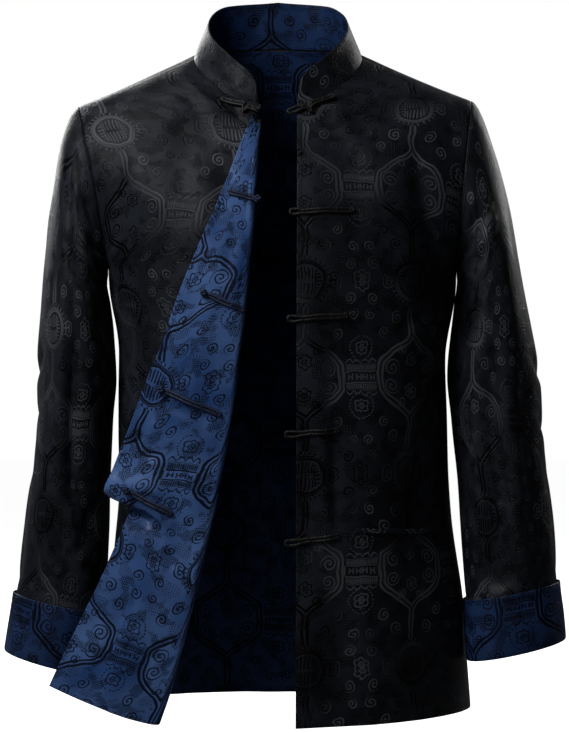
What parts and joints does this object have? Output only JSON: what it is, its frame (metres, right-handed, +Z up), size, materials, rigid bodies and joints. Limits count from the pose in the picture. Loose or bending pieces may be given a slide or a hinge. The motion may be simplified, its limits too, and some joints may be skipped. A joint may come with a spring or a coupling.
{
  "type": "tang jacket",
  "caption": "Reversible black and navy brocade tang jacket with a stand collar and knotted frogs, worn open with its right front turned back.",
  "frame": {"origin": "centre of the neck base, inside the collar at the height of the neck points of the shoulder seams", "axes": "+Z up along the body, -Y to the wearer's front, +X to the wearer's left"},
  "size_m": [0.6116, 0.264, 0.7867],
  "materials": {
    "outer_brocade": "black satin-ground brocade, figure and ground told apart by their gloss",
    "reverse_brocade": "navy satin-ground brocade with the same figures in dark outline",
    "frog_cord": "black satin bias cord, double and stitched down"
  },
  "bodies": {
    "root": {"back": "outer_brocade", "front_left": "outer_brocade", "front_right": "outer_brocade", "sleeve_left": "outer_brocade", "sleeve_right": "outer_brocade", "cuff_left": "reverse_brocade", "cuff_right": "reverse_brocade", "collar": "outer_brocade", "pocket_welt_left": "outer_brocade", "frog_loop_1": "frog_cord", "frog_loop_2": "frog_cord", "frog_loop_3": "frog_cord", "frog_loop_4": "frog_cord", "frog_loop_5": "frog_cord", "frog_button_1": "frog_cord", "frog_button_2": "frog_cord", "frog_button_3": "frog_cord", "frog_button_4": "frog_cord", "frog_button_5": "frog_cord"}
  },
  "joints": []
}
